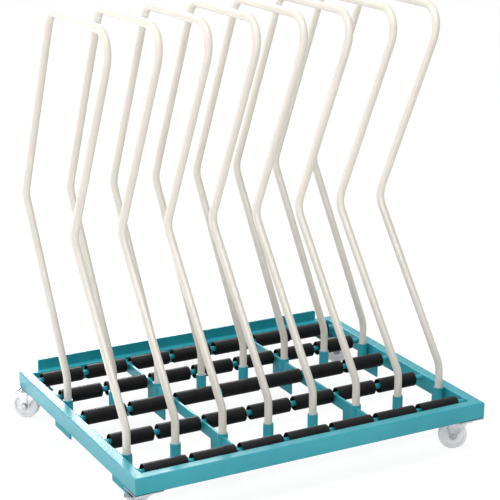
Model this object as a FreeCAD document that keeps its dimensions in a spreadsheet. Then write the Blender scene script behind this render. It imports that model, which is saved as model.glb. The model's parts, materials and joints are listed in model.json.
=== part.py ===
import FreeCAD, Part
import math
import os
import Sketcher
from types import SimpleNamespace

# Glazing trolley: a low welded frame on four swivel casters, with five rows of free rollers
# and eight bent tube hoops that stand in sockets and part the load.
# X runs along the trolley, Y from front to back, Z up from the floor.
# The origin is on the floor, under the middle of the whole outline.

V = FreeCAD.Vector
doc = FreeCAD.newDocument("glazing_trolley")

HOOP_COUNT = 8
BAR_HOOPS = (2, 5)
HEX_SIDES = 6

# Places from front to back, as shares of the way from the first roller row to the last
ROW_SHARES = (0, 0.2995, 0.553, 0.795, 1)
FRONT_SOCKET_SHARE = 0.1436
REAR_SOCKET_SHARE = 0.7207

# Lengths in millimetres, angles in degrees
DIMENSIONS = {
    # bed frame of rectangular tube
    "frame_depth": 1045,
    "rail_width": 40,
    "rail_height": 60,
    "rail_wall": 3,
    "rail_corner": 5,
    "caster_height": 116,
    # roller rows, with the space left between the outer rollers and the rails
    "front_row_space": 2,
    "back_row_space": 23,
    "shaft_drop": 13,
    "shaft_diameter": 20,
    "roller_diameter": 52,
    "roller_start": 16,
    "roller_end": 38,
    "roller_gap": 22,
    "roller_wall": 4,
    "roller_recess": 12,
    "roller_chamfer": 1.5,
    "running_clearance": 0.05,
    # sockets that the hoops stand in
    "hoop_pitch": 175,
    "right_space": 3,
    "socket_fit": 0.5,
    "socket_wall": 4,
    "socket_length": 70,
    # notched flat bars, and beams on hanger plates under the sockets
    "bar_height": 40,
    "bar_thickness": 8,
    "bar_rise": 8,
    "bar_offset": 7,
    "beam_width": 30,
    "beam_height": 30,
    "beam_wall": 3,
    "hanger_thickness": 6,
    "hanger_length": 140,
    "hanger_foot": 20,
    "swing_clearance": 7,
    # backstop plate on the back rail
    "backstop_height": 38,
    "backstop_thickness": 6,
    "backstop_setback": 7,
    "backstop_left": 71,
    "backstop_right": 85,
    "backstop_corner": 8,
    # hoops: heights over the rail top, and how far the knees and the top lean to the left
    "tube_diameter": 27,
    "tube_wall": 2.5,
    "foot_bore_depth": 80,
    "foot_clearance": 0.3,
    "foot_rise": 85,
    "front_knee_rise": 751,
    "rear_knee_rise": 770,
    "top_rise": 1368,
    "front_lean": 160.4,
    "front_lean_step": 17,
    "rear_lean": 124.9,
    "rear_lean_step": 16.3,
    "top_lean": 13.7,
    "top_lean_step": 3,
    "foot_bend": 140,
    "knee_bend": 100,
    "front_top_bend": 120,
    "rear_top_bend": 40,
    # caster heads
    "plate_length": 100,
    "plate_width": 85,
    "plate_thickness": 4,
    "race_diameter": 60,
    "race_thickness": 5,
    "swivel_gap": 0.3,
    "kingpin_diameter": 12,
    "kingpin_head_diameter": 22,
    "kingpin_head_thickness": 5,
    # caster forks, and how far each is turned at rest from trailing to the left
    "front_left_turn": 0,
    "front_right_turn": 332,
    "rear_left_turn": 318,
    "rear_right_turn": 152,
    "trail": 43,
    "crown_thickness": 4,
    "leg_thickness": 3,
    "leg_back": 20,
    "leg_front": 10,
    "leg_boss_diameter": 28,
    "rib_width": 24,
    "rib_rise": 2,
    "fork_bend": 3,
    "axle_diameter": 10,
    "hex_across": 17,
    "hex_thickness": 7,
    "bolt_end": 3,
    # wheels
    "wheel_gap": 2.7,
    "wheel_width": 32,
    "tread_rounding": 6,
    "rim_thickness": 11,
    "web_thickness": 14,
    "hub_diameter": 36,
    "hub_clearance": 0.5,
    "hub_step": 1.5,
    # brake pedals
    "brake_gap": 1.5,
    "pin_angle": 54,
    "pin_diameter": 8,
    "ear_diameter": 12,
    "pedal_barrel": 12,
    "pedal_length": 42,
    "pedal_thickness": 4,
    "pedal_lip": 9,
    "pedal_tilt": 16,
    "cut_overrun": 5,
}

sheet = doc.addObject("Spreadsheet::Sheet", "sizes")
for row, (alias, number) in enumerate(DIMENSIONS.items(), start=1):
    sheet.set(f"A{row}", alias)
    sheet.set(f"B{row}", str(number))
    sheet.setAlias(f"B{row}", alias)
doc.recompute()


class Size:
    """A length that carries its number and the sheet expression that gives it."""

    def __init__(self, text, value):
        self.text = text
        self.value = value

    def join(self, sign, other, value):
        return Size(f"({self.text} {sign} {as_size(other).text})", value)

    def __add__(self, other):
        return self.join("+", other, self.value + as_size(other).value)

    def __sub__(self, other):
        return self.join("-", other, self.value - as_size(other).value)

    def __mul__(self, other):
        return self.join("*", other, self.value * as_size(other).value)

    def __truediv__(self, other):
        return self.join("/", other, self.value / as_size(other).value)

    def __neg__(self):
        return Size(f"(-{self.text})", -self.value)


def as_size(item):
    return item if isinstance(item, Size) else Size(repr(item), item)


def cosine(angle):
    return Size(f"cos({angle.text})", math.cos(math.radians(angle.value)))


def sine(angle):
    return Size(f"sin({angle.text})", math.sin(math.radians(angle.value)))


dim = SimpleNamespace(**{alias: Size(f"sizes.{alias}", float(sheet.get(alias))) for alias in DIMENSIONS})


def bind(thing, **sizes):
    """Tie properties of an object to the sheet."""
    for name, size in sizes.items():
        thing.setExpression(name, as_size(size).text)


def place(thing, x=0, y=0, z=0, turn=None):
    """Put an object at x, y, z, turned first where a turn is given."""
    if turn:
        thing.Placement = FreeCAD.Placement(V(), turn)
    for letter, size in zip("xyz", (x, y, z)):
        thing.setExpression(f"Placement.Base.{letter}", as_size(size).text)
    return thing


# Turns that lay an upright piece along X or Y
ALONG_X = FreeCAD.Rotation(V(0, 1, 0), 90)
ALONG_Y = FreeCAD.Rotation(V(1, 0, 0), -90)


def block(name, x, y, z, length, width, height):
    """A box from its lowest corner."""
    box = doc.addObject("Part::Box", name)
    bind(box, Length=length, Width=width, Height=height)
    return place(box, x, y, z)


def rod(name, x, y, z, diameter, length, turn=None):
    """A round bar from the middle of its first end."""
    cylinder = doc.addObject("Part::Cylinder", name)
    bind(cylinder, Radius=diameter / 2, Height=length)
    return place(cylinder, x, y, z, turn)


def hexagon(name, x, y, z, across, thickness, turn):
    """A hexagonal prism by its width across the flats."""
    prism = doc.addObject("Part::Prism", name)
    prism.Polygon = HEX_SIDES
    bind(prism, Circumradius=across / (2 * math.cos(math.pi / HEX_SIDES)), Height=thickness)
    return place(prism, x, y, z, turn)


def fuse(name, pieces):
    whole = doc.addObject("Part::MultiFuse", name)
    whole.Shapes = pieces
    return whole


def cut(name, base, tools):
    result = doc.addObject("Part::Cut", name)
    result.Base = base
    result.Tool = tools[0] if len(tools) == 1 else fuse(f"{name}_tools", tools)
    return result


def group(name, pieces):
    """Pieces of one node, each still a solid of its own."""
    compound = doc.addObject("Part::Compound", name)
    compound.Links = pieces
    return compound


def copy_of(master, name, x=0, y=0, z=0, turn=None):
    """The same piece again at another place."""
    link = doc.addObject("App::Link", name)
    link.LinkedObject = master
    return place(link, x, y, z, turn)


def new_body(name):
    return doc.addObject("PartDesign::Body", name)


def new_sketch(body, role):
    sketch = body.newObject("Sketcher::SketchObject", f"{body.Name}_sketch")
    plane = next(item for item in body.Origin.OriginFeatures if item.Role == role)
    sketch.AttachmentSupport = [(plane, "")]
    sketch.MapMode = "FlatFace"
    return sketch


def hold(sketch, kind, size, *where):
    """A sketch dimension tied to the sheet."""
    index = sketch.addConstraint(Sketcher.Constraint(kind, *where, as_size(size).value))
    sketch.setExpression(f"Constraints[{index}]", as_size(size).text)


ORIGIN = (-1, 1)
START, END, CENTRE = 1, 2, 3


def polygon(sketch, points):
    """A closed outline through points, each held at its two coordinates."""
    first = sketch.GeometryCount
    spots = [V(as_size(x).value, as_size(y).value) for x, y in points]
    for index, spot in enumerate(spots):
        after = spots[(index + 1) % len(spots)]
        sketch.addGeometry(Part.LineSegment(spot, after))
    for index, (x, y) in enumerate(points):
        before = first + (index - 1) % len(points)
        sketch.addConstraint(Sketcher.Constraint("Coincident", before, END, first + index, START))
        hold(sketch, "DistanceX", x, *ORIGIN, first + index, START)
        hold(sketch, "DistanceY", y, *ORIGIN, first + index, START)


def circle(sketch, x, y, diameter):
    centre = V(as_size(x).value, as_size(y).value)
    index = sketch.addGeometry(Part.Circle(centre, V(0, 0, 1), diameter.value / 2))
    hold(sketch, "DistanceX", x, *ORIGIN, index, CENTRE)
    hold(sketch, "DistanceY", y, *ORIGIN, index, CENTRE)
    hold(sketch, "Diameter", diameter, index)


def pad(body, sketch, length, midplane=False):
    feature = body.newObject("PartDesign::Pad", f"{body.Name}_pad")
    feature.Profile = sketch
    feature.Midplane = midplane
    bind(feature, Length=length)
    return feature


def pocket_through(body, sketch):
    """A cut right through the body, both ways from the sketch."""
    feature = body.newObject("PartDesign::Pocket", f"{body.Name}_pocket")
    feature.Profile = sketch
    feature.Type = "ThroughAll"
    feature.Midplane = True
    return feature


def revolve(body, sketch, axis):
    """A full turn of a section about an axis of its sketch."""
    feature = body.newObject("PartDesign::Revolution", f"{body.Name}_turned")
    feature.Profile = sketch
    feature.ReferenceAxis = (sketch, [axis])
    feature.Angle = 360
    return feature


def dress(body, kind, base, size_name, size, chosen):
    """A fillet or chamfer on the edges of base that chosen accepts."""
    doc.recompute()
    edges = [f"Edge{i}" for i, edge in enumerate(base.Shape.Edges, start=1) if chosen(edge)]
    feature = body.newObject(kind, f"{body.Name}_dressing")
    feature.Base = (base, edges)
    bind(feature, **{size_name: size})
    return feature


def is_straight_along(edge, axis):
    """Tells whether an edge is a straight line parallel to an axis."""
    if not isinstance(edge.Curve, Part.Line):
        return False
    return edge.Curve.Direction.cross(axis).Length < edge.Curve.Direction.Length / 1000


# The middle of the bed, slid at the end until the whole outline is centred on the origin
middle = doc.addObject("Part::Vertex", "bed_middle")
doc.recompute()
middle_x = Size("bed_middle.X.Value", 0)
middle_y = Size("bed_middle.Y.Value", 0)

# Levels and lines that the pieces share
gaps = HOOP_COUNT - 1
socket_bore = dim.tube_diameter + dim.socket_fit * 2
socket_diameter = socket_bore + dim.socket_wall * 2
side_space = dim.rail_width + socket_diameter / 2
frame_length = dim.hoop_pitch * gaps + side_space * 2 + dim.right_space
inner_length = frame_length - dim.rail_width * 2
roller_length = (inner_length - dim.roller_start - dim.roller_end - dim.roller_gap * (gaps - 1)) / gaps
inner_depth = dim.frame_depth - dim.rail_width * 2
rail_bottom = dim.caster_height
rail_top = rail_bottom + dim.rail_height
shaft_level = rail_top - dim.shaft_drop
socket_bottom = rail_top - dim.socket_length
beam_bottom = socket_bottom - dim.beam_height
hanger_bottom = beam_bottom - dim.hanger_foot
bar_top = shaft_level + dim.bar_rise
bar_bottom = bar_top - dim.bar_height
left = middle_x - frame_length / 2
right = left + frame_length
front = middle_y - dim.frame_depth / 2
back = front + dim.frame_depth
first_row = front + dim.rail_width + dim.front_row_space + dim.roller_diameter / 2
last_row = back - dim.rail_width - dim.back_row_space - dim.roller_diameter / 2


def from_rows(share):
    """A place from front to back between the first roller row and the last."""
    return first_row + (last_row - first_row) * share


row_lines = [from_rows(share) for share in ROW_SHARES]
front_socket = from_rows(FRONT_SOCKET_SHARE)
rear_socket = from_rows(REAR_SOCKET_SHARE)

# Caster levels, and places measured from the kingpin at the underside of the fork's crown
crown_bottom = (dim.caster_height - dim.plate_thickness - dim.race_thickness
                - dim.swivel_gap - dim.crown_thickness)
wheel_diameter = crown_bottom - dim.wheel_gap
axle_level = wheel_diameter / 2
axle_drop = crown_bottom - axle_level
fork_inside = dim.wheel_width + (dim.hub_step + dim.hub_clearance) * 2
fork_width = fork_inside + dim.leg_thickness * 2
rib_span = fork_width + dim.rib_rise * 2
swing_reach = dim.plate_width / 2 + dim.trail + wheel_diameter / 2
pin_reach = wheel_diameter / 2 + dim.brake_gap + dim.pedal_barrel / 2
pin_back = pin_reach * cosine(dim.pin_angle)
pin_x = -dim.trail - pin_back
pin_z = pin_reach * sine(dim.pin_angle) - axle_drop


def rounded_path(points, radii):
    """A path of straight runs joined by tangent arcs."""
    edges = []
    start = points[0]
    for before, corner, after, radius in zip(points, points[1:], points[2:], radii):
        behind = (before - corner).normalize()
        ahead = (after - corner).normalize()
        half = behind.getAngle(ahead) / 2
        inward = (behind + ahead).normalize()
        centre = corner + inward * (radius / math.sin(half))
        entry = corner + behind * (radius / math.tan(half))
        leave = corner + ahead * (radius / math.tan(half))
        edges.append(Part.LineSegment(start, entry).toShape())
        edges.append(Part.Arc(entry, centre - inward * radius, leave).toShape())
        start = leave
    edges.append(Part.LineSegment(start, points[-1]).toShape())
    return Part.Wire(edges)


def hoop_points(hoop):
    """Corners of a hoop's centre line, from the front foot over the top to the rear foot."""
    front_y = front_socket.value
    rear_y = rear_socket.value
    front_knee = -(dim.front_lean + dim.front_lean_step * hoop).value
    rear_knee = -(dim.rear_lean + dim.rear_lean_step * hoop).value
    top_x = -(dim.top_lean + dim.top_lean_step * hoop).value
    foot = (socket_bottom + dim.foot_clearance).value
    bend = (rail_top + dim.foot_rise).value
    top = (rail_top + dim.top_rise).value
    return [
        V(0, front_y, foot),
        V(0, front_y, bend),
        V(front_knee, front_y, (rail_top + dim.front_knee_rise).value),
        V(top_x, front_y, top),
        V(top_x, rear_y, top),
        V(rear_knee, rear_y, (rail_top + dim.rear_knee_rise).value),
        V(0, rear_y, bend),
        V(0, rear_y, foot),
    ]


hoop_radii = [
    dim.foot_bend.value,
    dim.knee_bend.value,
    dim.front_top_bend.value,
    dim.rear_top_bend.value,
    dim.knee_bend.value,
    dim.foot_bend.value,
]


def hoop_x(hoop):
    return left + side_space + dim.hoop_pitch * hoop


def roller_x(space):
    """The middle of a roller, counted from the left."""
    first = left + dim.rail_width + dim.roller_start + roller_length / 2
    return first + (roller_length + dim.roller_gap) * space


def rail(name, length):
    """A length of rectangular tube with mitred ends, outer face on y = 0."""
    body = new_body(name)
    plan = new_sketch(body, "XY_Plane")
    half = length / 2
    inner = half - dim.rail_width
    polygon(plan, [(-half, 0), (half, 0), (inner, dim.rail_width), (-inner, dim.rail_width)])
    bar = pad(body, plan, dim.rail_height)
    dress(body, "PartDesign::Fillet", bar, "Radius", dim.rail_corner,
          lambda edge: is_straight_along(edge, V(1, 0, 0)))
    hollow = new_sketch(body, "YZ_Plane")
    wall = dim.rail_wall
    far = dim.rail_width - wall
    roof = dim.rail_height - wall
    polygon(hollow, [(wall, wall), (far, wall), (far, roof), (wall, roof)])
    pocket_through(body, hollow)
    return body


def frame_rails():
    """Four rails of rectangular tube, mitred and welded at the corners."""
    long_rail = rail("long_rail", frame_length)
    short_rail = rail("short_rail", dim.frame_depth)
    up = V(0, 0, 1)
    return group("frame_rails", [
        copy_of(long_rail, "front_rail", middle_x, front, rail_bottom),
        copy_of(long_rail, "back_rail", middle_x, back, rail_bottom, FreeCAD.Rotation(up, 180)),
        copy_of(short_rail, "left_rail", left, middle_y, rail_bottom, FreeCAD.Rotation(up, -90)),
        copy_of(short_rail, "right_rail", right, middle_y, rail_bottom, FreeCAD.Rotation(up, 90)),
    ])


def roller_shafts():
    """Fixed round shafts, welded between the side rails."""
    return group("roller_shafts", [
        rod(f"shaft_{number}", left + dim.rail_width, y, shaft_level,
            dim.shaft_diameter, inner_length, ALONG_X)
        for number, y in enumerate(row_lines, start=1)
    ])


def roller_sleeve():
    """A black sleeve with open ends that turns freely on its shaft, centred on its own middle."""
    body = new_body("roller_sleeve")
    section = new_sketch(body, "XY_Plane")
    bore = dim.shaft_diameter / 2 + dim.running_clearance
    outer = dim.roller_diameter / 2
    hollow = outer - dim.roller_wall
    end = roller_length / 2
    floor = end - dim.roller_recess
    chamfer = dim.roller_chamfer
    near = [
        (-floor, bore),
        (-floor, hollow),
        (-end, hollow),
        (-end, outer - chamfer),
        (-end + chamfer, outer),
    ]
    far = [(-x, y) for x, y in reversed(near)]
    polygon(section, near + far)
    revolve(body, section, "H_Axis")
    return body


def rollers():
    """Five rows of rollers, one roller to each space between two hoops."""
    sleeve = roller_sleeve()
    found = []
    for row, y in enumerate(row_lines, start=1):
        for space in range(gaps):
            found.append(copy_of(sleeve, f"roller_{row}_{space + 1}", roller_x(space), y, shaft_level))
    return found


socket_lines = (("front", front_socket), ("rear", rear_socket))


def hoop_sockets():
    """Upright tube sockets that the hoops' feet drop into."""
    outside = rod("socket_outside", 0, 0, 0, socket_diameter, dim.socket_length)
    overrun = dim.cut_overrun
    bore = rod("socket_hole", 0, 0, -overrun, socket_bore, dim.socket_length + overrun * 2)
    socket = cut("socket", outside, [bore])
    return group("hoop_sockets", [
        copy_of(socket, f"{side}_socket_{hoop + 1}", hoop_x(hoop), y, socket_bottom)
        for side, y in socket_lines
        for hoop in range(HOOP_COUNT)
    ])


def cross_bars():
    """Flat bars a little left of their hoops, notched for the shafts and welded to the sockets."""
    thickness = dim.bar_thickness
    overrun = dim.cut_overrun
    bar = block("bar", -thickness / 2, front + dim.rail_width, bar_bottom,
                thickness, inner_depth, dim.bar_height)
    wide = thickness + overrun * 2
    start = -wide / 2
    tools = []
    for number, y in enumerate(row_lines, start=1):
        seat = rod(f"notch_seat_{number}", start, y, shaft_level, dim.shaft_diameter, wide, ALONG_X)
        mouth = block(f"notch_mouth_{number}", start, y - dim.shaft_diameter / 2, shaft_level,
                      wide, dim.shaft_diameter, dim.bar_rise + overrun)
        tools += [seat, mouth]
    for side, y in socket_lines:
        tools.append(rod(f"{side}_bar_break", dim.bar_offset, y, bar_bottom - overrun, socket_diameter,
                         dim.bar_height + overrun * 2))
    notched = cut("notched_bar", bar, tools)
    return group("cross_bars", [
        copy_of(notched, f"cross_bar_{hoop + 1}", hoop_x(hoop) - dim.bar_offset)
        for hoop in BAR_HOOPS
    ])


def beam_hanger():
    """A plate under a cross bar that clasps the socket and the beam."""
    overrun = dim.cut_overrun
    thickness = dim.hanger_thickness
    wide = thickness + overrun * 2
    plate = block("hanger_blank", -thickness / 2, -dim.hanger_length / 2, hanger_bottom,
                  thickness, dim.hanger_length, bar_bottom - hanger_bottom)
    socket_gap = rod("hanger_socket_gap", dim.bar_offset, 0, socket_bottom, socket_diameter,
                     dim.socket_length)
    beam_gap = block("hanger_beam_gap", -wide / 2, -dim.beam_width / 2, beam_bottom,
                     wide, dim.beam_width, dim.beam_height)
    return cut("beam_hanger", plate, [socket_gap, beam_gap])


def socket_beams():
    """Two rectangular tubes that carry the sockets, and the plates that they hang on."""
    overrun = dim.cut_overrun
    wall = dim.beam_wall
    outside = block("beam_outside", left + dim.rail_width, -dim.beam_width / 2, beam_bottom,
                    inner_length, dim.beam_width, dim.beam_height)
    inside = block("beam_inside", left + dim.rail_width - overrun, wall - dim.beam_width / 2,
                   beam_bottom + wall, inner_length + overrun * 2,
                   dim.beam_width - wall * 2, dim.beam_height - wall * 2)
    beam = cut("beam", outside, [inside])
    hanger = beam_hanger()
    thickness = dim.hanger_thickness
    pieces = []
    for side, y in socket_lines:
        pieces.append(copy_of(beam, f"{side}_beam", 0, y))
        for hoop in BAR_HOOPS:
            x = hoop_x(hoop) - dim.bar_offset
            pieces.append(copy_of(hanger, f"{side}_hanger_{hoop + 1}", x, y))
        # The front end plates start behind the swinging casters
        start = front + swing_reach + dim.swing_clearance if side == "front" else y - dim.hanger_length / 2
        length = y + dim.hanger_length / 2 - start
        for end, x in (("left", left + dim.rail_width - thickness), ("right", right - dim.rail_width)):
            pieces.append(block(f"{side}_{end}_hanger", x, start, hanger_bottom,
                                thickness, length, rail_bottom - hanger_bottom))
    return group("socket_beams", pieces)


def backstop():
    """A plate on edge along the back rail, with rounded upper corners."""
    body = new_body("backstop")
    face = new_sketch(body, "XZ_Plane")
    length = frame_length - dim.backstop_left - dim.backstop_right
    height = dim.backstop_height
    polygon(face, [(0, 0), (length, 0), (length, height), (0, height)])
    plate = pad(body, face, dim.backstop_thickness)
    dress(body, "PartDesign::Fillet", plate, "Radius", dim.backstop_corner,
          lambda edge: is_straight_along(edge, V(0, 1, 0)) and edge.CenterOfMass.z > height.value / 2)
    return place(body, left + dim.backstop_left, back - dim.backstop_setback, rail_top)


def hoop(number):
    """A hoop of bent tube, open at its two feet."""
    points = hoop_points(number)
    path = rounded_path(points, hoop_radii)
    profile = Part.Face(Part.Wire(Part.makeCircle(dim.tube_diameter.value / 2, points[0], V(0, 0, 1))))
    tube = path.makePipe(profile)
    bore = dim.tube_diameter.value / 2 - dim.tube_wall.value
    for foot in (points[0], points[-1]):
        tube = tube.cut(Part.makeCylinder(bore, dim.foot_bore_depth.value, foot, V(0, 0, 1)))
    feature = doc.addObject("Part::Feature", f"hoop_{number + 1}")
    feature.Shape = tube
    return place(feature, hoop_x(number), middle_y)


def caster_head():
    """A top plate with the upper ball race and the kingpin under it."""
    overrun = dim.cut_overrun
    race_bottom = dim.caster_height - dim.plate_thickness - dim.race_thickness
    plate = block("head_plate", -dim.plate_length / 2, -dim.plate_width / 2,
                  dim.caster_height - dim.plate_thickness,
                  dim.plate_length, dim.plate_width, dim.plate_thickness)
    race_disc = rod("race_disc", 0, 0, race_bottom, dim.race_diameter, dim.race_thickness)
    race_hole = rod("race_hole", 0, 0, race_bottom - overrun, dim.kingpin_diameter,
                    dim.race_thickness + overrun * 2)
    race = cut("race", race_disc, [race_hole])
    head_top = crown_bottom - dim.swivel_gap
    head = rod("kingpin_head", 0, 0, head_top - dim.kingpin_head_thickness, dim.kingpin_head_diameter,
               dim.kingpin_head_thickness)
    shank = rod("kingpin_shank", 0, 0, head_top - dim.kingpin_head_thickness, dim.kingpin_diameter,
                dim.caster_height - dim.plate_thickness - head_top + dim.kingpin_head_thickness)
    return group("caster_head", [plate, race, fuse("kingpin", [head, shank])])


def fork_body(name, braked):
    """A pressed fork: crown, two ribbed legs and a round seat, with ears for the pedal pin if braked."""
    body = new_body(name)
    side = new_sketch(body, "XZ_Plane")
    half_boss = dim.leg_boss_diameter / 2
    crown = dim.crown_thickness
    polygon(side, [
        (dim.leg_front, crown),
        (-dim.trail - dim.leg_back, crown),
        (-dim.trail - half_boss, -axle_drop),
        (-dim.trail + half_boss, -axle_drop),
        (dim.leg_front, 0),
    ])
    legs = pad(body, side, fork_width, midplane=True)
    dress(body, "PartDesign::Fillet", legs, "Radius", dim.fork_bend,
          lambda edge: is_straight_along(edge, V(1, 0, 0)) and edge.CenterOfMass.z > crown.value / 2)
    boss = new_sketch(body, "XZ_Plane")
    circle(boss, -dim.trail, -axle_drop, dim.leg_boss_diameter)
    pad(body, boss, fork_width, midplane=True)
    rib = new_sketch(body, "XZ_Plane")
    half_rib = dim.rib_width / 2
    polygon(rib, [
        (-dim.trail - half_rib, 0),
        (-dim.trail - half_rib, -axle_drop),
        (-dim.trail + half_rib, -axle_drop),
        (-dim.trail + half_rib, 0),
    ])
    pad(body, rib, rib_span, midplane=True)
    rib_end = new_sketch(body, "XZ_Plane")
    circle(rib_end, -dim.trail, -axle_drop, dim.rib_width)
    pad(body, rib_end, rib_span, midplane=True)
    if braked:
        ear = new_sketch(body, "XZ_Plane")
        ear_half = dim.ear_diameter / 2
        polygon(ear, [
            (-dim.trail, 0),
            (-dim.trail - dim.leg_back, 0),
            (pin_x, pin_z + ear_half),
            (pin_x, pin_z - ear_half),
            (-dim.trail, pin_z - pin_back),
        ])
        pad(body, ear, fork_width, midplane=True)
        ear_end = new_sketch(body, "XZ_Plane")
        circle(ear_end, pin_x, pin_z, dim.ear_diameter)
        pad(body, ear_end, fork_width, midplane=True)
    slot = new_sketch(body, "YZ_Plane")
    deep = -axle_drop - dim.leg_boss_diameter
    half = fork_inside / 2
    polygon(slot, [(-half, 0), (-half, deep), (half, deep), (half, 0)])
    pocket_through(body, slot)
    seat = new_sketch(body, "XY_Plane")
    circle(seat, 0, 0, dim.race_diameter)
    pad(body, seat, crown)
    kingpin_hole = new_sketch(body, "XY_Plane")
    circle(kingpin_hole, 0, 0, dim.kingpin_diameter + dim.running_clearance * 2)
    pocket_through(body, kingpin_hole)
    axle_hole = new_sketch(body, "XZ_Plane")
    circle(axle_hole, -dim.trail, -axle_drop, dim.axle_diameter)
    if braked:
        circle(axle_hole, pin_x, pin_z, dim.pin_diameter)
    pocket_through(body, axle_hole)
    return body


def caster_fork(name, braked):
    """A fork with its axle bolt and nut, and with its pedal pin if braked."""
    half = rib_span / 2
    thick = dim.hex_thickness
    shank = rod(f"{name}_shank", -dim.trail, -half - thick, -axle_drop, dim.axle_diameter,
                rib_span + thick * 2 + dim.bolt_end, ALONG_Y)
    head = hexagon(f"{name}_head", -dim.trail, -half - thick, -axle_drop, dim.hex_across, thick, ALONG_Y)
    nut_blank = hexagon(f"{name}_nut_blank", -dim.trail, half, -axle_drop, dim.hex_across, thick, ALONG_Y)
    nut_hole = rod(f"{name}_nut_hole", -dim.trail, 0, -axle_drop, dim.axle_diameter,
                   rib_span * 2, ALONG_Y)
    pieces = [
        fork_body(f"{name}_body", braked),
        fuse(f"{name}_bolt", [shank, head]),
        cut(f"{name}_nut", nut_blank, [nut_hole]),
    ]
    if braked:
        pin_start = -fork_width / 2 - dim.bolt_end
        pieces.append(rod(f"{name}_pin", pin_x, pin_start, pin_z, dim.pin_diameter,
                          -pin_start * 2, ALONG_Y))
    return group(name, pieces)


def caster_wheel():
    """A nylon wheel with a recessed web and a bored hub, turned about its own axle."""
    body = new_body("caster_wheel")
    section = new_sketch(body, "XY_Plane")
    bore = dim.axle_diameter / 2 + dim.running_clearance
    hub = dim.hub_diameter / 2
    outer = wheel_diameter / 2
    rim = outer - dim.rim_thickness
    half = dim.wheel_width / 2
    web = dim.web_thickness / 2
    hub_end = half + dim.hub_step
    lower = [(bore, -hub_end), (hub, -hub_end), (hub, -web), (rim, -web), (rim, -half), (outer, -half)]
    upper = [(x, -y) for x, y in reversed(lower)]
    polygon(section, lower + upper)
    turned = revolve(body, section, "V_Axis")
    middle_radius = (outer - dim.rim_thickness / 2).value
    dress(body, "PartDesign::Fillet", turned, "Radius", dim.tread_rounding,
          lambda edge: isinstance(edge.Curve, Part.Circle) and edge.Curve.Radius > middle_radius)
    return body


def brake_pedal():
    """A foot pedal on a barrel that turns on the fork's pin, lying flat until it is placed."""
    body = new_body("brake_pedal")
    width = fork_inside - dim.hub_clearance * 2
    round_end = new_sketch(body, "XZ_Plane")
    circle(round_end, 0, 0, dim.pedal_barrel)
    pad(body, round_end, width, midplane=True)
    side = new_sketch(body, "XZ_Plane")
    top = dim.pedal_barrel / 2
    under = top - dim.pedal_thickness
    tip = -dim.pedal_length
    lip_back = tip + dim.pedal_thickness
    polygon(side, [
        (0, top),
        (tip, top),
        (tip, top - dim.pedal_lip),
        (lip_back, top - dim.pedal_lip),
        (lip_back, under),
        (0, under),
    ])
    tread = pad(body, side, width, midplane=True)

    def is_tip_edge(edge):
        spot = edge.CenterOfMass
        at_tip = spot.x < (tip + dim.pedal_thickness / 2).value and spot.z > under.value
        return is_straight_along(edge, V(0, 1, 0)) and at_tip

    dress(body, "PartDesign::Fillet", tread, "Radius", dim.pedal_thickness / 2, is_tip_edge)
    hole = new_sketch(body, "XZ_Plane")
    circle(hole, 0, 0, dim.pin_diameter + dim.running_clearance * 2)
    pocket_through(body, hole)
    return body


def caster_corners():
    """Each corner's kingpin, its turn at rest and whether its caster has a brake."""
    half_length = dim.plate_length / 2
    half_width = dim.plate_width / 2
    near = front + half_width
    far = back - half_width
    first = left + half_length
    last = right - half_length
    return {
        "front_left": (first, near, dim.front_left_turn, False),
        "front_right": (last, near, dim.front_right_turn, False),
        "rear_left": (first, far, dim.rear_left_turn, True),
        "rear_right": (last, far, dim.rear_right_turn, True),
    }


def swung(x, y, turn, reach):
    """A spot on a turned caster, given by its reach from the kingpin along the fork."""
    return x + reach * cosine(turn), y + reach * sine(turn)


def casters():
    """The caster heads as one node, and each corner's fork, wheel and pedal as nodes of their own."""
    head = caster_head()
    plain = caster_fork("plain_fork", False)
    braked = caster_fork("braked_fork", True)
    wheel = caster_wheel()
    pedal = brake_pedal()
    tilt = FreeCAD.Rotation(V(0, 1, 0), dim.pedal_tilt.value)
    heads = []
    moving = []
    for corner, (x, y, turn, has_brake) in caster_corners().items():
        spin = FreeCAD.Rotation(V(0, 0, 1), turn.value)
        heads.append(copy_of(head, f"head_{corner}", x, y))
        fork = braked if has_brake else plain
        moving.append(copy_of(fork, f"fork_{corner}", x, y, crown_bottom, spin))
        wheel_x, wheel_y = swung(x, y, turn, -dim.trail)
        moving.append(copy_of(wheel, f"wheel_{corner}", wheel_x, wheel_y, axle_level, spin))
        if has_brake:
            hinge_x, hinge_y = swung(x, y, turn, pin_x)
            level = crown_bottom + pin_z
            moving.append(copy_of(pedal, f"pedal_{corner}", hinge_x, hinge_y, level, spin * tilt))
    return [group("caster_heads", heads)] + moving


nodes = [frame_rails(), roller_shafts(), hoop_sockets(), cross_bars(), socket_beams(), backstop()]
nodes += casters()
nodes += [hoop(number) for number in range(HOOP_COUNT)]
nodes += rollers()
doc.recompute()
outline = FreeCAD.BoundBox()
for node in nodes:
    outline.add(Part.getShape(node).optimalBoundingBox(False))
middle.X = -outline.Center.x
middle.Y = -outline.Center.y
doc.recompute()

for item in doc.Objects:
    if "Invalid" in item.State or "Error" in item.State:
        raise RuntimeError(f"{item.Label} failed: {item.getStatusString()}")
shapes = {node.Label: Part.getShape(node) for node in nodes}
for label, shape in shapes.items():
    if shape.isNull() or not shape.isValid() or not shape.Solids:
        raise RuntimeError(f"{label} has no sound solid")

os.makedirs("parts", exist_ok=True)
for label, shape in shapes.items():
    shape.exportStep(f"parts/{label}.step")
print(len(shapes), "nodes,", sum(len(shape.Solids) for shape in shapes.values()), "solids")
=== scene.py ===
import json
import math
import bmesh
import bpy
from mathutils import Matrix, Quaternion, Vector

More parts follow.
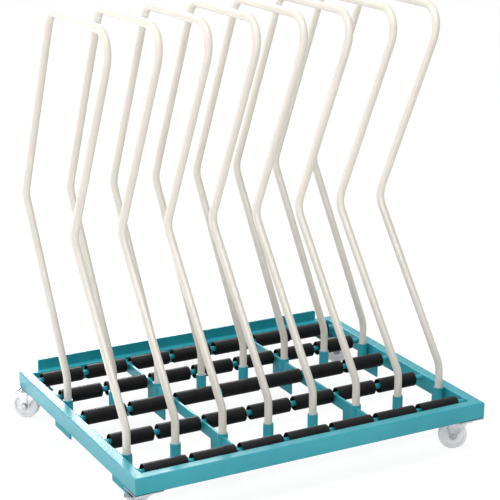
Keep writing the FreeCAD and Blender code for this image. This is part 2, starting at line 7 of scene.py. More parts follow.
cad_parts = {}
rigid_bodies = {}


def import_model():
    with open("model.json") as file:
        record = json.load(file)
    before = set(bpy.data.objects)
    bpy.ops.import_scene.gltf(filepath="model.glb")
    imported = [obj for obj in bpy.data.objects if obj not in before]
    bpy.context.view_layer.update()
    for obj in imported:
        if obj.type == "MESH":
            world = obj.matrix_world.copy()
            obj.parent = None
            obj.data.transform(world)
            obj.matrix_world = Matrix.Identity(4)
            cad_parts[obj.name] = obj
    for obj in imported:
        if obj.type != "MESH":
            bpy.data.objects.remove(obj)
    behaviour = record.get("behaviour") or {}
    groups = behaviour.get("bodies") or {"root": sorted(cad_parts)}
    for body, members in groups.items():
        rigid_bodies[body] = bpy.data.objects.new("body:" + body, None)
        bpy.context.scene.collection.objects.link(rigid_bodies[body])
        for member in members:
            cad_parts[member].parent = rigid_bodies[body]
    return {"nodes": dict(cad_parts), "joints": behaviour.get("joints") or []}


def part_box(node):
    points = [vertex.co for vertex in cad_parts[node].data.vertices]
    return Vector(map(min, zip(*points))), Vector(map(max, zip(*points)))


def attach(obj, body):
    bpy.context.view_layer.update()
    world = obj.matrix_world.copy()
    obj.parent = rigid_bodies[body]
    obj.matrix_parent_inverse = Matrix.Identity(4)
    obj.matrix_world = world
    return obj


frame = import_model()
nodes = frame["nodes"]
for leftover in [item for item in bpy.data.objects if item.name in ("Cube", "Light", "Camera")]:
    bpy.data.objects.remove(leftover)
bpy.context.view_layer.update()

ACROSS = Vector((1, 0, 0))
DEPTH = Vector((0, 1, 0))
UP = Vector((0, 0, 1))
BOTH_WAYS = (1, -1)

# Camera, at the photograph's viewing angle
CAMERA_PLACE = Vector((-2.4371, -4.6460, 2.2860))
CAMERA_TURN = math.radians(28.19)
CAMERA_DROP = math.radians(16.94)
CAMERA_ROLL = math.radians(0.1)
CAMERA_LENS = 112.32
CAMERA_SENSOR = 36
CAMERA_REACH = 200


def add_camera():
    """The camera, turned to the right and tipped down from its place."""
    data = bpy.data.cameras.new("camera")
    data.lens = CAMERA_LENS
    data.sensor_width = CAMERA_SENSOR
    data.clip_end = CAMERA_REACH
    camera = bpy.data.objects.new("camera", data)
    level = math.cos(CAMERA_DROP)
    ahead = Vector((
        math.sin(CAMERA_TURN) * level,
        math.cos(CAMERA_TURN) * level,
        -math.sin(CAMERA_DROP),
    ))
    camera.location = CAMERA_PLACE
    camera.rotation_mode = "QUATERNION"
    camera.rotation_quaternion = ahead.to_track_quat("-Z", "Y") @ Quaternion((0, 0, 1), CAMERA_ROLL)
    bpy.context.scene.collection.objects.link(camera)
    bpy.context.scene.camera = camera


# Nodes that the studio and the finishes are made of
def feed(tree, socket, value):
    """Link a socket, or set its value where a plain one is given."""
    if isinstance(value, bpy.types.NodeSocket):
        tree.links.new(value, socket)
    else:
        socket.default_value = value


def join(tree, operation, first, second):
    """A math node on two sockets or numbers."""
    node = tree.nodes.new("ShaderNodeMath")
    node.operation = operation
    feed(tree, node.inputs[0], first)
    feed(tree, node.inputs[1], second)
    return node.outputs[0]


def join_vectors(tree, operation, first, second):
    """A vector math node on two sockets or vectors."""
    node = tree.nodes.new("ShaderNodeVectorMath")
    node.operation = operation
    feed(tree, node.inputs[0], first)
    feed(tree, node.inputs[1], second)
    return node.outputs


def toward(tree, place, way):
    """How far a place or a direction goes a given way."""
    return join_vectors(tree, "DOT_PRODUCT", place, way)["Value"]


def stretch(tree, place, factors):
    """A place with each of its axes scaled."""
    return join_vectors(tree, "MULTIPLY", place, factors)["Vector"]


def spread(tree, value, low, high, to_low, to_high):
    """A value moved from one range to another, and kept within it."""
    node = tree.nodes.new("ShaderNodeMapRange")
    items = {"Value": value, "From Min": low, "From Max": high, "To Min": to_low, "To Max": to_high}
    for label, item in items.items():
        feed(tree, node.inputs[label], item)
    return node.outputs["Result"]


def own_place(tree, label="Object"):
    """Where on its own object, or which way in the backdrop, a point lies."""
    return tree.nodes.new("ShaderNodeTexCoord").outputs[label]


def noise(tree, place, scale, detail):
    """Cloudy noise over a place."""
    node = tree.nodes.new("ShaderNodeTexNoise")
    feed(tree, node.inputs["Vector"], place)
    feed(tree, node.inputs["Scale"], scale)
    node.inputs["Detail"].default_value = detail
    return node.outputs["Fac"]


def blend_colour(tree, factor, first, second):
    """The first colour, or the second where the factor is full."""
    node = tree.nodes.new("ShaderNodeMix")
    node.data_type = "RGBA"
    feed(tree, node.inputs["Factor"], factor)
    feed(tree, node.inputs["A"], first)
    feed(tree, node.inputs["B"], second)
    return node.outputs["Result"]


def gloss_ray(tree):
    """1 for rays that show the surroundings in gloss."""
    return tree.nodes.new("ShaderNodeLightPath").outputs["Is Glossy Ray"]


def seen_ray(tree):
    """1 for rays that show the surroundings: from the camera, in gloss and through glass."""
    path = tree.nodes.new("ShaderNodeLightPath").outputs
    glossy = join(tree, "MAXIMUM", path["Is Camera Ray"], path["Is Glossy Ray"])
    return join(tree, "MAXIMUM", glossy, path["Is Transmission Ray"])


def part_by_ray(tree, lit, seen, out):
    """Let one shader light the object, and the other show to the rays that see it."""
    mix = tree.nodes.new("ShaderNodeMixShader")
    tree.links.new(seen_ray(tree), mix.inputs["Fac"])
    tree.links.new(lit.outputs[0], mix.inputs[1])
    tree.links.new(seen.outputs[0], mix.inputs[2])
    tree.links.new(mix.outputs[0], out.inputs["Surface"])


# Studio: white backdrop, pale floor and soft lamps
WHITE = (1, 1, 1, 1)
# The backdrop's light and gloss rise from its dim side to its bright side, left and behind
WORLD_WAY = (-0.9, 0.4, 0.2)
WORLD_TINT = (0.98, 0.99, 1.0, 1)
WORLD_LIGHT = (0.17, 0.6)
WORLD_GLOSS = (0.28, 1.7)
# As pale as the far floor shows, so that no line parts them
WORLD_SEEN = 0.945
FLOOR_SIZE = 60
FLOOR_LIFT = 0.865
FLOOR_SHADE = (0.2, 0.2, 0.2, 1)
FLOOR_BOUNCE = (0.9, 0.9, 0.9, 1)
# Painted glow that the floor shows only in reflections rises to the left and the back: how far along the
# way, and the glow there
REFLECTED_GLOW_WAY = (1, -0.25, 0)
REFLECTED_GLOW_RIGHT = (-0.55, 0.8)
REFLECTED_GLOW_LEFT = (-1.0, 2.4)
# A painted pool of light on the floor in front of the bed, shown only in reflections: its middle, half
# sizes, soft edge and glow
PATCH_MIDDLE = (-0.1, -2.05)
PATCH_HALVES = (0.85, 0.75)
PATCH_EDGE = 0.3
PATCH_GLOW = 8.0
# A painted shadow under the bed in the floor's reflected glow: the share of the glow left there, and
# where beyond the rails it rises
PAINTED_SHADOW_SHARE = 0.25
PAINTED_SHADOW_EDGE = (0.05, 0.14)
# name: watts, width, height, place, target
LAMPS = {
    "key_left": (188, 4.0, 4.0, (-4.2, -5.8, 5.0), (0, 0, 0.4)),
    "top_soft": (1120, 8.8, 8.8, (0.2, 0.2, 14.0), (0, 0, 0)),
    "rear_left": (104, 3.2, 2.6, (-6.0, 4.0, 3.2), (0, 0, 0.4)),
    "fill_right": (20, 4.0, 3.2, (5.4, -4.2, 3.5), (0, 0, 0.5)),
    "rear_soft": (210, 2.6, 1.8, (1.2, 5.4, 2.4), (0, 0, 0.2)),
}
# Lamps that only show in gloss, and light nothing else
GLOSS_LAMPS = ("rear_soft",)


def set_world():
    """A backdrop that shows near white, and lights the object softly from one side."""
    world = bpy.data.worlds.new("studio")
    world.use_nodes = True
    bpy.context.scene.world = world
    tree = world.node_tree
    tree.nodes.clear()
    side = toward(tree, own_place(tree, "Generated"), WORLD_WAY)
    lit = tree.nodes.new("ShaderNodeBackground")
    lit.inputs["Color"].default_value = WORLD_TINT
    feed(tree, lit.inputs["Strength"], spread(tree, side, -1.0, 1.0, *WORLD_LIGHT))
    seen = tree.nodes.new("ShaderNodeBackground")
    seen.inputs["Color"].default_value = WHITE
    gloss = spread(tree, side, -1.0, 1.0, *WORLD_GLOSS)
    feed(tree, seen.inputs["Strength"], spread(tree, gloss_ray(tree), 0.0, 1.0, WORLD_SEEN, gloss))
    part_by_ray(tree, lit, seen, tree.nodes.new("ShaderNodeOutputWorld"))


def beyond_bed(tree):
    """How far a place on the floor is outside the rails."""
    low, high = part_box("frame_rails")
    place = own_place(tree)
    furthest = join(tree, "SUBTRACT", toward(tree, place, ACROSS), high.x)
    for way, edge in ((-ACROSS, -low.x), (DEPTH, high.y), (-DEPTH, -low.y)):
        step = join(tree, "SUBTRACT", toward(tree, place, way), edge)
        furthest = join(tree, "MAXIMUM", furthest, step)
    return furthest


def painted_light_patch(tree):
    """The painted pool of light on the floor in front of the bed, seen only in reflections."""
    place = own_place(tree)
    gloss = PATCH_GLOW
    for way, middle, half in zip((ACROSS, DEPTH), PATCH_MIDDLE, PATCH_HALVES):
        off = join(tree, "SUBTRACT", toward(tree, place, way), middle)
        inside = spread(tree, join(tree, "ABSOLUTE", off, 0.0), half, half + PATCH_EDGE, 1.0, 0.0)
        gloss = join(tree, "MULTIPLY", gloss, inside)
    return gloss


def floor_gloss(tree):
    """The painted glow that the floor shows in reflections, from place to place, with a painted shadow
    under the bed.
    """
    along = toward(tree, own_place(tree), REFLECTED_GLOW_WAY)
    gloss = spread(tree, along, REFLECTED_GLOW_RIGHT[0], REFLECTED_GLOW_LEFT[0], REFLECTED_GLOW_RIGHT[1], REFLECTED_GLOW_LEFT[1])
    gloss = join(tree, "ADD", gloss, painted_light_patch(tree))
    # Painted shadow: the reflected glow is cut down under the bed
    return join(tree, "MULTIPLY", gloss, spread(tree, beyond_bed(tree), *PAINTED_SHADOW_EDGE, PAINTED_SHADOW_SHARE, 1.0))


def floor_finish():
    """A pale floor: it bounces light as plain paint, shows near white with the shadow left in, and shows
    a painted glow in reflections.
    """
    material = bpy.data.materials.new("pale_floor")
    material.use_nodes = True
    tree = material.node_tree
    tree.nodes.clear()
    bounce = tree.nodes.new("ShaderNodeBsdfDiffuse")
    bounce.inputs["Color"].default_value = FLOOR_BOUNCE
    shade = tree.nodes.new("ShaderNodeBsdfDiffuse")
    shade.inputs["Color"].default_value = FLOOR_SHADE
    lift = tree.nodes.new("ShaderNodeEmission")
    # Camera rays see the even lift, reflections see the painted glow
    strength = spread(tree, gloss_ray(tree), 0.0, 1.0, FLOOR_LIFT, floor_gloss(tree))
    feed(tree, lift.inputs["Strength"], strength)
    shown = tree.nodes.new("ShaderNodeAddShader")
    tree.links.new(shade.outputs[0], shown.inputs[0])
    tree.links.new(lift.outputs[0], shown.inputs[1])
    part_by_ray(tree, bounce, shown, tree.nodes.new("ShaderNodeOutputMaterial"))
    return material


def add_floor():
    """One wide sheet of floor at height 0."""
    mesh = bpy.data.meshes.new("floor")
    half = FLOOR_SIZE / 2
    corners = [(-half, -half, 0), (half, -half, 0), (half, half, 0), (-half, half, 0)]
    mesh.from_pydata(corners, [], [(0, 1, 2, 3)])
    mesh.materials.append(floor_finish())
    floor = bpy.data.objects.new("floor", mesh)
    bpy.context.scene.collection.objects.link(floor)


def add_lamps():
    """Soft box lamps, each aimed at its target."""
    for name, (watts, width, height, place, target) in LAMPS.items():
        data = bpy.data.lights.new(name, "AREA")
        data.energy = watts
        data.shape = "RECTANGLE"
        data.size = width
        data.size_y = height
        lamp = bpy.data.objects.new(name, data)
        lamp.location = place
        aim = Vector(target) - Vector(place)
        lamp.rotation_euler = aim.to_track_quat("-Z", "Y").to_euler()
        lamp.visible_diffuse = name not in GLOSS_LAMPS
        bpy.context.scene.collection.objects.link(lamp)


# Shared effects of the finishes, each a node group
NOISE_RANGE = (0.35, 0.65)
BUMP_DEPTH = 0.0006
BEVEL_SAMPLES = 6
CLOUD_DETAIL = 4
# The drift of the gloss is finer than the clouds by this factor
DRIFT_FACTOR = 14.0
DRIFT_DETAIL = 3
DIMPLE_DETAIL = 2
STREAK_DETAIL = 3
# How much the softened normal still agrees with the plain one, where the rubbed and painted-highlight
# edge starts and where it is full
WEAR_HIGHLIGHT_TURN = (0.99, 0.8)
WEAR_HIGHLIGHT_SCALE = 60.0
WEAR_HIGHLIGHT_DETAIL = 5
WEAR_HIGHLIGHT_RANGE = (0.42, 0.6)
WEAR_HIGHLIGHT_LEAST = 0.2
# How open a place is, where the painted crevice shade starts and where it is full
CREVICE_SHADE_OPEN = (0.85, 0.4)
CREVICE_SHADE_SAMPLES = 8
CREVICE_SHADE_SCALE = 90.0
CREVICE_SHADE_DETAIL = 4
CREVICE_SHADE_LEAST = 0.5


def new_group(name, inputs, outputs):
    """A shader node group with named sockets, with its input and output nodes."""
    group = bpy.data.node_groups.new(name, "ShaderNodeTree")
    for label, (kind, value) in inputs.items():
        socket = group.interface.new_socket(name=label, in_out="INPUT", socket_type=f"NodeSocket{kind}")
        socket.default_value = value
    for label, kind in outputs.items():
        group.interface.new_socket(name=label, in_out="OUTPUT", socket_type=f"NodeSocket{kind}")
    entry = group.nodes.new("NodeGroupInput")
    leave = group.nodes.new("NodeGroupOutput")
    return group, entry.outputs, leave.inputs


def soft_normal(tree, radius):
    """The normal of a surface whose edges are rounded off."""
    node = tree.nodes.new("ShaderNodeBevel")
    node.samples = BEVEL_SAMPLES
    feed(tree, node.inputs["Radius"], radius)
    return node.outputs["Normal"]


def new_bump(tree, height, strength):
    """A bump node of the shared depth."""
    node = tree.nodes.new("ShaderNodeBump")
    node.inputs["Distance"].default_value = BUMP_DEPTH
    feed(tree, node.inputs["Height"], height)
    feed(tree, node.inputs["Strength"], strength)
    return node


def break_up(tree, mask, patches, amount):
    """A mask broken up by patches, and thinned to an amount."""
    return join(tree, "MULTIPLY", join(tree, "MULTIPLY", mask, patches), amount)


def tone_group():
    """Soft clouds of two shades, with a roughness that drifts in finer ones."""
    group, given, made = new_group(
        "tone_clouds",
        {
            "Shade A": ("Color", WHITE),
            "Shade B": ("Color", WHITE),
            "Cloud Scale": ("Float", 9.0),
            "Smoothest": ("Float", 0.3),
            "Roughest": ("Float", 0.4),
        },
        {"Color": "Color", "Roughness": "Float"},
    )
    place = own_place(group)
    clouds = noise(group, place, given["Cloud Scale"], CLOUD_DETAIL)
    clouds = spread(group, clouds, *NOISE_RANGE, 0.0, 1.0)
    drift_scale = join(group, "MULTIPLY", given["Cloud Scale"], DRIFT_FACTOR)
    drift = noise(group, place, drift_scale, DRIFT_DETAIL)
    rough = spread(group, drift, *NOISE_RANGE, given["Smoothest"], given["Roughest"])
    group.links.new(blend_colour(group, clouds, given["Shade A"], given["Shade B"]), made["Color"])
    group.links.new(rough, made["Roughness"])
    return group


def skin_group():
    """The fine dimpled skin of a baked powder coat, over softened edges."""
    group, given, made = new_group(
        "dimpled_skin",
        {
            "Dimple Scale": ("Float", 420.0),
            "Dimple Strength": ("Float", 0.2),
            "Edge Radius": ("Float", 0.0012),
        },
        {"Normal": "Vector"},
    )
    dimples = noise(group, own_place(group), given["Dimple Scale"], DIMPLE_DETAIL)
    bump = new_bump(group, dimples, given["Dimple Strength"])
    group.links.new(soft_normal(group, given["Edge Radius"]), bump.inputs["Normal"])
    group.links.new(bump.outputs["Normal"], made["Normal"])
    return group


def edge_wear_and_highlight_group():
    """A mask of the outer edges, broken up by noise, where handling has rubbed them and a painted
    highlight lightens them.
    """
    group, given, made = new_group(
        "rubbed_and_highlit_edges",
        {"Width": ("Float", 0.002), "Amount": ("Float", 0.5)},
        {"Mask": "Float"},
    )
    plain = group.nodes.new("ShaderNodeNewGeometry").outputs["Normal"]
    agreed = toward(group, soft_normal(group, given["Width"]), plain)
    turned = spread(group, agreed, *WEAR_HIGHLIGHT_TURN, 0.0, 1.0)
    patches = noise(group, own_place(group), WEAR_HIGHLIGHT_SCALE, WEAR_HIGHLIGHT_DETAIL)
    patches = spread(group, patches, *WEAR_HIGHLIGHT_RANGE, WEAR_HIGHLIGHT_LEAST, 1.0)
    group.links.new(break_up(group, turned, patches, given["Amount"]), made["Mask"])
    return group


def streak_group():
    """Fine streaks along one axis, as drawn, brushed or rolled surfaces show."""
    group, given, made = new_group(
        "fine_streaks",
        {"Stretch": ("Vector", (1.0, 1.0, 1.0)), "Strength": ("Float", 0.1)},
        {"Mask": "Float", "Normal": "Vector"},
    )
    lines = noise(group, stretch(group, own_place(group), given["Stretch"]), 1.0, STREAK_DETAIL)
    bump = new_bump(group, lines, given["Strength"])
    group.links.new(spread(group, lines, *NOISE_RANGE, 0.0, 1.0), made["Mask"])
    group.links.new(bump.outputs["Normal"], made["Normal"])
    return group


def crevice_shade_group():
    """A mask of the crevices, where painted shade darkens them, broken up by noise."""
    group, given, made = new_group(
        "crevice_painted_shade",
        {"Reach": ("Float", 0.008), "Amount": ("Float", 0.5)},
        {"Mask": "Float"},
    )
    hollow = group.nodes.new("ShaderNodeAmbientOcclusion")
    hollow.samples = CREVICE_SHADE_SAMPLES
    group.links.new(given["Reach"], hollow.inputs["Distance"])
    deep = spread(group, hollow.outputs["AO"], *CREVICE_SHADE_OPEN, 0.0, 1.0)
    patches = noise(group, own_place(group), CREVICE_SHADE_SCALE, CREVICE_SHADE_DETAIL)
    patches = spread(group, patches, *NOISE_RANGE, CREVICE_SHADE_LEAST, 1.0)
    group.links.new(break_up(group, deep, patches, given["Amount"]), made["Mask"])
    return group


TONE = tone_group()
CREVICE_SHADE = crevice_shade_group()
SKIN = skin_group()
EDGE_WEAR_AND_HIGHLIGHT = edge_wear_and_highlight_group()
STREAK = streak_group()


# Finishes of the frame, hoops, rollers, wheels and casters
SLEEVE_DUST = (0.014, 0.014, 0.015, 1)
SLEEVE_DUST_SHARE = 0.5
# Lighter colour of the zinc's edges: rubbed wear and a painted highlight
ZINC_WEAR_AND_HIGHLIGHT = (0.70, 0.71, 0.73, 1)
# Dark colour painted into the zinc's crevices as shade
ZINC_CREVICE_SHADE = (0.11, 0.11, 0.12, 1)


def new_finish(name):
    """A new material, with its nodes and its shader's inputs."""
    material = bpy.data.materials.new(name)
    material.use_nodes = True
    tree = material.node_tree
    return material, tree, tree.nodes["Principled BSDF"].inputs


def use(tree, group, **values):
    """A shared effect placed in a material with its own values."""
    node = tree.nodes.new("ShaderNodeGroup")
    node.node_tree = group
    for label, value in values.items():
        feed(tree, node.inputs[label.replace("_", " ")], value)
    return node.outputs


def powder_coat(name, shade_a, shade_b, edge_wear_and_highlight_shade, worn_and_highlit, smoothest, roughest, dimples):
    """Baked powder coat with a dimpled skin and slightly rubbed edges, lightened also as a painted
    highlight.
    """
    material, tree, shader = new_finish(name)
    tone = use(
        tree, TONE, Shade_A=shade_a, Shade_B=shade_b,
        Cloud_Scale=7.0, Smoothest=smoothest, Roughest=roughest,
    )
    # Rubbed edges, lightened as wear and as a painted highlight
    wear_and_highlight = use(tree, EDGE_WEAR_AND_HIGHLIGHT, Width=0.0016, Amount=worn_and_highlit)
    feed(tree, shader["Base Color"], blend_colour(tree, wear_and_highlight["Mask"], tone["Color"], edge_wear_and_highlight_shade))
    feed(tree, shader["Roughness"], tone["Roughness"])
    feed(tree, shader["Normal"], use(tree, SKIN, Dimple_Strength=dimples)["Normal"])
    return material


def roller_finish():
    """Black sleeve with fine lengthwise streaks and a dusty bloom."""
    material, tree, shader = new_finish("black_sleeve")
    tone = use(
        tree, TONE, Shade_A=(0.004, 0.004, 0.005, 1), Shade_B=(0.008, 0.008, 0.009, 1),
        Cloud_Scale=22.0, Smoothest=0.4, Roughest=0.54,
    )
    streak = use(tree, STREAK, Stretch=(7.0, 420.0, 420.0), Strength=0.12)
    dusty = join(tree, "MULTIPLY", streak["Mask"], SLEEVE_DUST_SHARE)
    feed(tree, shader["Base Color"], blend_colour(tree, dusty, tone["Color"], SLEEVE_DUST))
    feed(tree, shader["Roughness"], tone["Roughness"])
    feed(tree, shader["Normal"], streak["Normal"])
    shader["Specular IOR Level"].default_value = 0.14
    return material


def nylon_finish():
    """White moulded nylon, faintly clouded."""
    material, tree, shader = new_finish("white_nylon")
    tone = use(
        tree, TONE, Shade_A=(0.90, 0.90, 0.91, 1), Shade_B=(0.95, 0.95, 0.95, 1),
        Cloud_Scale=30.0, Smoothest=0.34, Roughest=0.46,
    )
    feed(tree, shader["Base Color"], tone["Color"])
    feed(tree, shader["Roughness"], tone["Roughness"])
    feed(tree, shader["Normal"], use(tree, SKIN, Dimple_Scale=900.0, Dimple_Strength=0.08)["Normal"])
    shader["Subsurface Weight"].default_value = 0.08
    shader["Subsurface Radius"].default_value = (0.006, 0.006, 0.006)
    return material


def zinc_finish():
    """Bright zinc plate, with brushed streaks, rubbed edges lightened also as a painted highlight, and
    painted shade in its crevices.
    """
    material, tree, shader = new_finish("bright_zinc")
    tone = use(
        tree, TONE, Shade_A=(0.41, 0.42, 0.45, 1), Shade_B=(0.52, 0.53, 0.55, 1),
        Cloud_Scale=45.0, Smoothest=0.26, Roughest=0.42,
    )
    # Painted shade darkens the crevices
    crevice_shade = use(tree, CREVICE_SHADE, Reach=0.009, Amount=0.85)
    # Rubbed edges with a painted highlight
    wear_and_highlight = use(tree, EDGE_WEAR_AND_HIGHLIGHT, Width=0.001, Amount=0.6)
    streak = use(tree, STREAK, Stretch=(900.0, 900.0, 60.0), Strength=0.05)
    worn_and_highlit = blend_colour(tree, wear_and_highlight["Mask"], tone["Color"], ZINC_WEAR_AND_HIGHLIGHT)
    feed(tree, shader["Base Color"], blend_colour(tree, crevice_shade["Mask"], worn_and_highlit, ZINC_CREVICE_SHADE))
    feed(tree, shader["Roughness"], tone["Roughness"])
    feed(tree, shader["Normal"], streak["Normal"])
    shader["Metallic"].default_value = 1.0
    return material


FINISHES = {
    "teal_paint": powder_coat(
        "teal_powder_coat",
        shade_a=(0.015, 0.305, 0.375, 1),
        shade_b=(0.021, 0.35, 0.42, 1),
        # Edge shade: lighter for rubbed wear and a painted highlight
        edge_wear_and_highlight_shade=(0.06, 0.43, 0.51, 1),
        worn_and_highlit=0.35,
        smoothest=0.33,
        roughest=0.42,
        dimples=0.16,
    ),
    "cream_paint": powder_coat(
        "cream_powder_coat",
        shade_a=(0.765, 0.716, 0.637, 1),
        shade_b=(0.805, 0.754, 0.671, 1),
        # Edge shade: lighter for rubbed wear and a painted highlight
        edge_wear_and_highlight_shade=(0.82, 0.79, 0.71, 1),
        worn_and_highlit=0.05,
        smoothest=0.29,
        roughest=0.31,
        dimples=0.03,
    ),
    "roller_black": roller_finish(),
    "white_nylon": nylon_finish(),
    "zinc": zinc_finish(),
}


def finish_nodes():
    """Every CAD node takes the finish of its own slot."""
    for node in nodes.values():
        for index, held in enumerate(node.data.materials):
            node.data.materials[index] = FINISHES[held.name]


# Skins of the small pieces that are added to the frame
def skin_rings(skin, rings, closed):
    """Faces from each ring to the next, with a cap on both ends unless the row closes on itself."""
    pairs = list(zip(rings, rings[1:]))
    if closed:
        pairs.append((rings[-1], rings[0]))
    else:
        skin.faces.new(rings[0])
        skin.faces.new(rings[-1])
    for near, far in pairs:
        for corner in range(len(near)):
            skin.faces.new((near[corner - 1], near[corner], far[corner], far[corner - 1]))


def add_piece(name, skin, slot):
    """A finished mesh as a piece of the frame, with the finish of its slot."""
    bmesh.ops.recalc_face_normals(skin, faces=skin.faces[:])
    mesh = bpy.data.meshes.new(name)
    skin.to_mesh(mesh)
    skin.free()
    mesh.polygons.foreach_set("use_smooth", [True] * len(mesh.polygons))
    mesh.materials.append(FINISHES[slot])
    piece = bpy.data.objects.new(name, mesh)
    bpy.context.scene.collection.objects.link(piece)
    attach(piece, "frame")


# Weld beads, painted over with the frame: sizes in metres
RIPPLE_STEP = 0.0012
RIPPLE_SHARES = (0.9, 1.0, 1.08)
END_SHARE = 0.72
BEAD_SIDES = 6
BEAD = 0.0022
FINE_BEAD = 0.0015
# How far a bead's middle stands off the faces that it joins, as a share of the bead
SEAT_SHARE = 0.3
SEAT = BEAD * SEAT_SHARE
FINE_SEAT = FINE_BEAD * SEAT_SHARE
RAIL_WIDTH = 0.040
RAIL_CORNER = 0.005
SHAFT_RADIUS = 0.010
# Shafts are told apart to this many digits of a metre
SHAFT_DIGITS = 6
SOCKET_RADIUS = 0.018
BAR_THICKNESS = 0.008
BAR_OFFSET = 0.007
BAR_HOOPS = (2, 5)
LAST_HOOP = 7
HANGER_THICKNESS = 0.006
BEAM_SIZE = 0.030
STITCH_COUNT = 8
STITCH_LENGTH = 0.04
STITCH_INSET = 0.03


def run(start, end):
    """Evenly spaced points along a straight line."""
    start = Vector(start)
    end = Vector(end)
    count = max(2, round((end - start).length / RIPPLE_STEP))
    return [start.lerp(end, step / count) for step in range(count + 1)]


def upright(x, y, low, high):
    """Evenly spaced points along an upright line."""
    return run((x, y, low), (x, y, high))


def arc(centre, first, second, radius, begin, finish):
    """Evenly spaced points along a circle, in the plane of two directions."""
    count = round(radius * (finish - begin) / RIPPLE_STEP)
    angles = [begin + (finish - begin) * step / count for step in range(count + 1)]
    return [
        Vector(centre) + (first * math.cos(angle) + second * math.sin(angle)) * radius
        for angle in angles
    ]


def lay_bead(skin, path, radius):
    """A rippled bead along a path, closed on itself where the path is."""
    closed = (path[0] - path[-1]).length < RIPPLE_STEP / 2
    if closed:
        path = path[:-1]
    last = len(path) - 1
    angles = [math.tau * corner / BEAD_SIDES for corner in range(BEAD_SIDES)]
    rings = []
    side = (path[1] - path[0]).orthogonal()
    for index, point in enumerate(path):
        before = path[index - 1] if index or closed else point
        after = path[(index + 1) % len(path)] if index < last or closed else point
        ahead = (after - before).normalized()
        side = (side - ahead * side.dot(ahead)).normalized()
        upward = ahead.cross(side)
        share = RIPPLE_SHARES[index % len(RIPPLE_SHARES)]
        if index in (0, last) and not closed:
            share = END_SHARE
        rings.append([
            skin.verts.new(point + (side * math.cos(angle) + upward * math.sin(angle)) * radius * share)
            for angle in angles
        ])
    skin_rings(skin, rings, closed)


def add_beads(name, paths, radius=BEAD):
    """One piece made of a bead along each path."""
    skin = bmesh.new()
    for path in paths:
        lay_bead(skin, path, radius)
    add_piece(name, skin, "teal_paint")


def inner_faces():
    """Inner faces of the side rails and the end rails, each with the way that leads off it."""
    low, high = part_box("frame_rails")
    inner_low = low + Vector((RAIL_WIDTH, RAIL_WIDTH, 0))
    inner_high = high - Vector((RAIL_WIDTH, RAIL_WIDTH, 0))
    return ((inner_low.x, 1), (inner_high.x, -1)), ((inner_low.y, 1), (inner_high.y, -1))


def shaft_lines():
    """Depth and height of each row's shaft."""
    rows = [Vector(joint["pos_m"]) for joint in frame["joints"] if joint["name"].startswith("turn_")]
    return sorted({(round(place.y, SHAFT_DIGITS), round(place.z, SHAFT_DIGITS)) for place in rows})


def socket_places():
    """Where the sockets stand across the bed, and the depths of their two lines."""
    low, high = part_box("hoop_sockets")
    first = low.x + SOCKET_RADIUS
    pitch = (high.x - SOCKET_RADIUS - first) / LAST_HOOP
    hoops = [first + pitch * hoop for hoop in range(LAST_HOOP + 1)]
    return hoops, (low.y + SOCKET_RADIUS, high.y - SOCKET_RADIUS)


def weld_rails(sides, ends, shafts):
    """Beads in the bed's corners and round the shafts' ends."""
    low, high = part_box("frame_rails")
    add_beads("corner_welds", [
        upright(x + SEAT * right, y + SEAT * back, low.z + RAIL_CORNER, high.z - RAIL_CORNER)
        for x, right in sides for y, back in ends
    ])
    add_beads("shaft_welds", [
        arc((x + SEAT * right, y, z), DEPTH, UP, SHAFT_RADIUS + SEAT, 0, math.tau)
        for x, right in sides for y, z in shafts
    ])


def weld_sockets(hoops, socket_lines):
    """Beads between each socket's foot and its beam, left and right."""
    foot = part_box("hoop_sockets")[0].z + SEAT
    radius = SOCKET_RADIUS + SEAT
    reach = math.asin((BEAM_SIZE / 2 - BEAD) / radius)
    add_beads("socket_welds", [
        arc((x, y, foot), ACROSS * way, DEPTH, radius, -reach, reach)
        for x in hoops for y in socket_lines for way in BOTH_WAYS
    ])


def weld_bars(ends, shafts, hoops, bars, socket_lines):
    """Beads from the cross bars to the sockets, the end rails and the shafts in their notches."""
    low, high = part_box("cross_bars")
    seams = []
    for hoop in BAR_HOOPS:
        for way in BOTH_WAYS:
            off = BAR_THICKNESS / 2 * way - BAR_OFFSET
            meet = math.sqrt(SOCKET_RADIUS ** 2 - off ** 2) + SEAT
            x = hoops[hoop] + off + SEAT * way
            for y in socket_lines:
                seams += [upright(x, y + meet * back, low.z, high.z) for back in BOTH_WAYS]
    faces = [(x + BAR_THICKNESS / 2 * way, way) for x in bars for way in BOTH_WAYS]
    for x, way in faces:
        seams += [upright(x + SEAT * way, y + SEAT * back, low.z, high.z) for y, back in ends]
    add_beads("bar_welds", seams)
    add_beads("notch_welds", [
        arc((x + FINE_SEAT * way, y, z), DEPTH, UP, SHAFT_RADIUS + FINE_SEAT, math.pi, math.tau)
        for x, way in faces for y, z in shafts
    ], FINE_BEAD)


def weld_beams(sides, bars, socket_lines):
    """Beads from the beams under the sockets to the plates that carry them and to the side rails."""
    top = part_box("hoop_sockets")[0].z
    bottom = top - BEAM_SIZE
    half = BEAM_SIZE / 2 + SEAT
    plates = list(sides)
    plates += [(x + HANGER_THICKNESS / 2 * way, way) for x in bars for way in BOTH_WAYS]
    seams = []
    for x, way in plates:
        for y in socket_lines:
            seams += [upright(x + SEAT * way, y + half * back, bottom, top) for back in BOTH_WAYS]
    for x, way in sides:
        for y in socket_lines:
            for z in (bottom - SEAT, top + SEAT):
                seams.append(run((x + SEAT * way, y - half, z), (x + SEAT * way, y + half, z)))
    add_beads("beam_welds", seams)


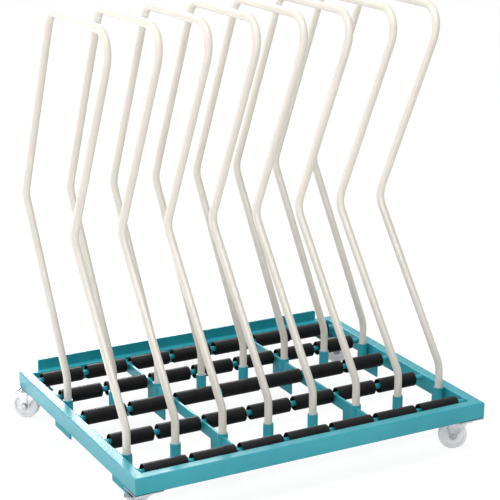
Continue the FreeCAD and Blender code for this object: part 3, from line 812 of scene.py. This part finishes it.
def weld_backstop():
    """Short stitches along the back of the backstop's foot."""
    low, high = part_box("backstop")
    free = high.x - low.x - STITCH_INSET * 2 - STITCH_LENGTH
    line = (high.y + SEAT, low.z + SEAT)
    paths = []
    for stitch in range(STITCH_COUNT):
        x = low.x + STITCH_INSET + free * stitch / (STITCH_COUNT - 1)
        paths.append(run((x, *line), (x + STITCH_LENGTH, *line)))
    add_beads("backstop_welds", paths)


def add_welds():
    """Beads where the frame's pieces meet."""
    sides, ends = inner_faces()
    shafts = shaft_lines()
    hoops, socket_lines = socket_places()
    bars = [hoops[hoop] - BAR_OFFSET for hoop in BAR_HOOPS]
    weld_rails(sides, ends, shafts)
    weld_sockets(hoops, socket_lines)
    weld_bars(ends, shafts, hoops, bars, socket_lines)
    weld_beams(sides, bars, socket_lines)
    weld_backstop()


# Flanged hexagon bolts that hold each caster plate to the rails over it: sizes in metres
BOLT_SPREAD = (0.038, 0.030)
PLATE_THICKNESS = 0.004
BOLT_STEPS = 24
HEX_SIDES = 6
HEX_HALF = 0.0065
FLANGE_RADIUS = 0.0082
FLANGE_LIP = 0.007708
CORNER_RADIUS = 0.00738
CHAMFER_RADIUS = 0.006305
# depth under the plate, radius, and whether the ring is cut to a hexagon
BOLT_RINGS = (
    (0.0, FLANGE_RADIUS, False),
    (0.0008, FLANGE_RADIUS, False),
    (0.0013, FLANGE_LIP, False),
    (0.0016, CORNER_RADIUS, True),
    (0.0032, CORNER_RADIUS, True),
    (0.0038, CHAMFER_RADIUS, True),
)


def hex_reach(angle):
    """How far the hexagon's outline is from its middle."""
    side = math.tau / HEX_SIDES
    return HEX_HALF / math.cos(angle % side - side / 2)


def under_rail(x, y):
    """Whether a place is under a rail, and not under the bed's opening."""
    low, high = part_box("frame_rails")
    between_sides = low.x + RAIL_WIDTH < x < high.x - RAIL_WIDTH
    between_ends = low.y + RAIL_WIDTH < y < high.y - RAIL_WIDTH
    return not (between_sides and between_ends)


def add_bolt(skin, x, y, top):
    """One bolt head under its plate."""
    rings = []
    for drop, radius, is_hex in BOLT_RINGS:
        ring = []
        for step in range(BOLT_STEPS):
            angle = math.tau * step / BOLT_STEPS
            reach = min(radius, hex_reach(angle)) if is_hex else radius
            place = (x + reach * math.cos(angle), y + reach * math.sin(angle), top - drop)
            ring.append(skin.verts.new(place))
        rings.append(ring)
    skin_rings(skin, rings, closed=False)


def add_bolts():
    """A bolt in each hole of the caster plates that has a rail over it."""
    plate_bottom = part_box("caster_heads")[1].z - PLATE_THICKNESS
    skin = bmesh.new()
    casters = [joint["pos_m"] for joint in frame["joints"] if joint["name"].startswith("swivel_")]
    for middle in casters:
        for way in BOTH_WAYS:
            for back in BOTH_WAYS:
                x = middle[0] + BOLT_SPREAD[0] * way
                y = middle[1] + BOLT_SPREAD[1] * back
                if under_rail(x, y):
                    add_bolt(skin, x, y, plate_bottom)
    add_piece("caster_bolts", skin, "zinc")


add_camera()
set_world()
add_floor()
add_lamps()
finish_nodes()
add_welds()
add_bolts()

bpy.context.scene.view_settings.view_transform = "Standard"
